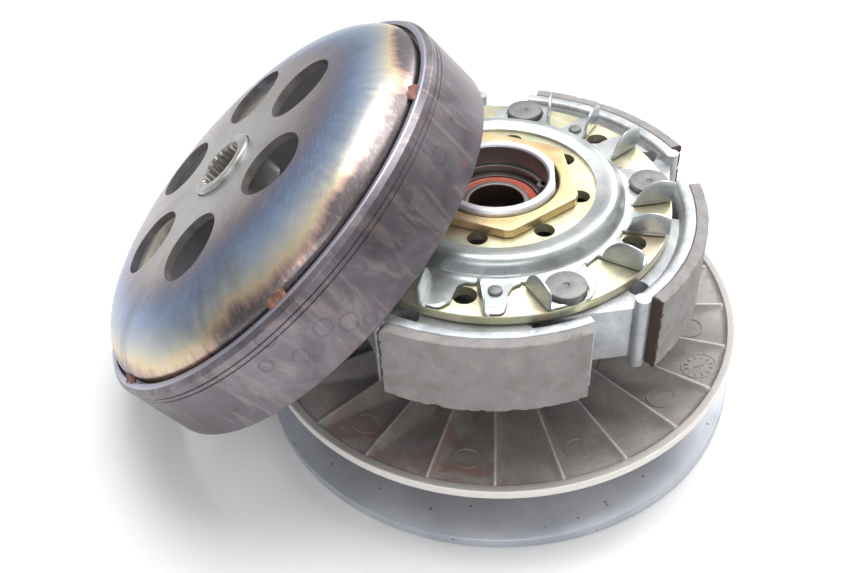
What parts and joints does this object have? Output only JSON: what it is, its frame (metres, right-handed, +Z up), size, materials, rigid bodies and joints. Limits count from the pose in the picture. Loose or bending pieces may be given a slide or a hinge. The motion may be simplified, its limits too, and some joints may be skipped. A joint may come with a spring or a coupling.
{
  "type": "belt drive driven pulley with centrifugal clutch",
  "caption": "Driven pulley of a belt drive: spring-loaded movable sheave with torque cam, centrifugal clutch with pivoting shoes, and the loose clutch bell leaning on it.",
  "frame": {"origin": "centre of the set's bounding box, on the surface it stands on", "axes": "+X across the set from the leaning bell towards the pulley, +Z up along the pulley's axis"},
  "size_m": [0.2482, 0.1872, 0.1362],
  "materials": {
    "sheave_steel": "machined, smooth belt face",
    "bearing_steel": "ground and polished",
    "yellow_zinc": "pale yellow zinc plate",
    "silver_zinc": "bright zinc plate",
    "gold_zinc": "gold zinc plate",
    "spring_steel": "plain steel",
    "red_seal": "moulded rubber",
    "cast_dark": "as-cast, stained",
    "cast_light": "as-cast",
    "lining": "moulded friction lining, worn",
    "black_rubber": "moulded rubber",
    "blued_steel": "heat-tinted, brushed",
    "drum_steel": "heat-tinted, stained",
    "pin_steel": "phosphated"
  },
  "bodies": {
    "pulley": {"fixed_sheave": "sheave_steel", "hub_tube": "bearing_steel", "drive_plate": "yellow_zinc", "fan_plate": "silver_zinc", "lock_nut": "gold_zinc", "upper_spring_seat": "spring_steel", "bearing_outer_ring": "bearing_steel", "bearing_seal": "red_seal", "snap_ring": "bearing_steel", "needle_bearing": "spring_steel", "guide_pin_1": "bearing_steel", "guide_pin_2": "bearing_steel", "guide_pin_3": "bearing_steel", "pivot_pin_1": "pin_steel", "pin_clip_1": "spring_steel", "plate_rivet_1": "pin_steel", "pivot_pin_2": "pin_steel", "pin_clip_2": "spring_steel", "plate_rivet_2": "pin_steel", "pivot_pin_3": "pin_steel", "pin_clip_3": "spring_steel", "plate_rivet_3": "pin_steel", "pivot_pin_4": "pin_steel", "pin_clip_4": "spring_steel", "plate_rivet_4": "pin_steel", "pivot_pin_5": "pin_steel", "pin_clip_5": "spring_steel", "plate_rivet_5": "pin_steel", "clutch_spring_1": "gold_zinc", "clutch_spring_2": "gold_zinc", "clutch_spring_3": "gold_zinc", "clutch_spring_4": "gold_zinc", "clutch_spring_5": "gold_zinc"},
    "spring_collar": {"seal_collar": "silver_zinc", "main_spring": "spring_steel"},
    "movable_sheave": {"movable_sheave": "cast_dark", "cam_sleeve": "bearing_steel", "o_ring_lower": "black_rubber", "o_ring_upper": "black_rubber", "grease_seal": "black_rubber"},
    "bearing_inner": {"bearing_inner_ring": "bearing_steel"},
    "bearing_cage": {"bearing_ball_cage": "bearing_steel"},
    "guide_roller_1": {"guide_roller_1": "bearing_steel"},
    "guide_roller_2": {"guide_roller_2": "bearing_steel"},
    "guide_roller_3": {"guide_roller_3": "bearing_steel"},
    "shoe_1": {"shoe_1": "cast_light", "lining_1": "lining"},
    "shoe_2": {"shoe_2": "cast_light", "lining_2": "lining"},
    "shoe_3": {"shoe_3": "cast_light", "lining_3": "lining"},
    "shoe_4": {"shoe_4": "cast_light", "lining_4": "lining"},
    "shoe_5": {"shoe_5": "cast_light", "lining_5": "lining"},
    "bell": {"bell_dome": "blued_steel", "bell_drum": "drum_steel", "bell_hub": "sheave_steel"}
  },
  "joints": [
    {"name": "sheave_travel", "type": "slide", "parent": "pulley", "child": "spring_collar", "axis": [0, 0, 1], "range_m": [0, 0.018], "stiffness_N_per_m": 6000, "springref_m": -0.02, "deforming": ["main_spring"]},
    {"name": "sheave_turn", "type": "hinge", "parent": "spring_collar", "child": "movable_sheave", "pos_m": [0.03054, 0, 0.03], "axis": [0, 0, 1], "range_deg": [0, 33]},
    {"name": "bearing_spin", "type": "hinge", "parent": "pulley", "child": "bearing_inner", "pos_m": [0.03054, 0, 0.077], "axis": [0, 0, 1], "continuous": true},
    {"name": "cage_spin", "type": "hinge", "parent": "pulley", "child": "bearing_cage", "pos_m": [0.03054, 0, 0.077], "axis": [0, 0, 1], "continuous": true},
    {"name": "roller_1_spin", "type": "hinge", "parent": "pulley", "child": "guide_roller_1", "pos_m": [0.05704, 0, 0.044], "axis": [1, 0, 0], "continuous": true},
    {"name": "roller_2_spin", "type": "hinge", "parent": "pulley", "child": "guide_roller_2", "pos_m": [0.01729, 0.02295, 0.044], "axis": [-0.5, 0.866, 0], "continuous": true},
    {"name": "roller_3_spin", "type": "hinge", "parent": "pulley", "child": "guide_roller_3", "pos_m": [0.01729, -0.02295, 0.044], "axis": [-0.5, -0.866, 0], "continuous": true},
    {"name": "shoe_1_swing", "type": "hinge", "parent": "pulley", "child": "shoe_1", "pos_m": [0.08622, 0.00595, 0.07], "axis": [0, 0, -1], "range_deg": [0, 4], "stiffness_Nm_per_rad": 8, "springref_deg": -8.59},
    {"name": "shoe_2_swing", "type": "hinge", "parent": "pulley", "child": "shoe_2", "pos_m": [0.05341, -0.05112, 0.07], "axis": [0, 0, -1], "range_deg": [0, 6.6], "stiffness_Nm_per_rad": 8, "springref_deg": -8.59},
    {"name": "shoe_3_swing", "type": "hinge", "parent": "pulley", "child": "shoe_3", "pos_m": [-0.01101, -0.03754, 0.07], "axis": [0, 0, -1], "range_deg": [0, 3.4], "stiffness_Nm_per_rad": 8, "springref_deg": -8.59},
    {"name": "shoe_4_swing", "type": "hinge", "parent": "pulley", "child": "shoe_4", "pos_m": [-0.018, 0.02791, 0.07], "axis": [0, 0, -1], "range_deg": [0, 5.9], "stiffness_Nm_per_rad": 8, "springref_deg": -8.59},
    {"name": "shoe_5_swing", "type": "hinge", "parent": "pulley", "child": "shoe_5", "pos_m": [0.04209, 0.0548, 0.07], "axis": [0, 0, -1], "range_deg": [0, 5.9], "stiffness_Nm_per_rad": 8, "springref_deg": -8.59},
    {"name": "bell_lift", "type": "slide", "parent": "pulley", "child": "bell", "axis": [-0.6387, -0.0206, 0.7692], "range_m": [0, 0.06]}
  ],
  "couplings": [
    {"joint": "sheave_turn", "follows": "sheave_travel", "rad_per_m": 31.664},
    {"joint": "cage_spin", "follows": "bearing_spin", "ratio": 0.41}
  ]
}
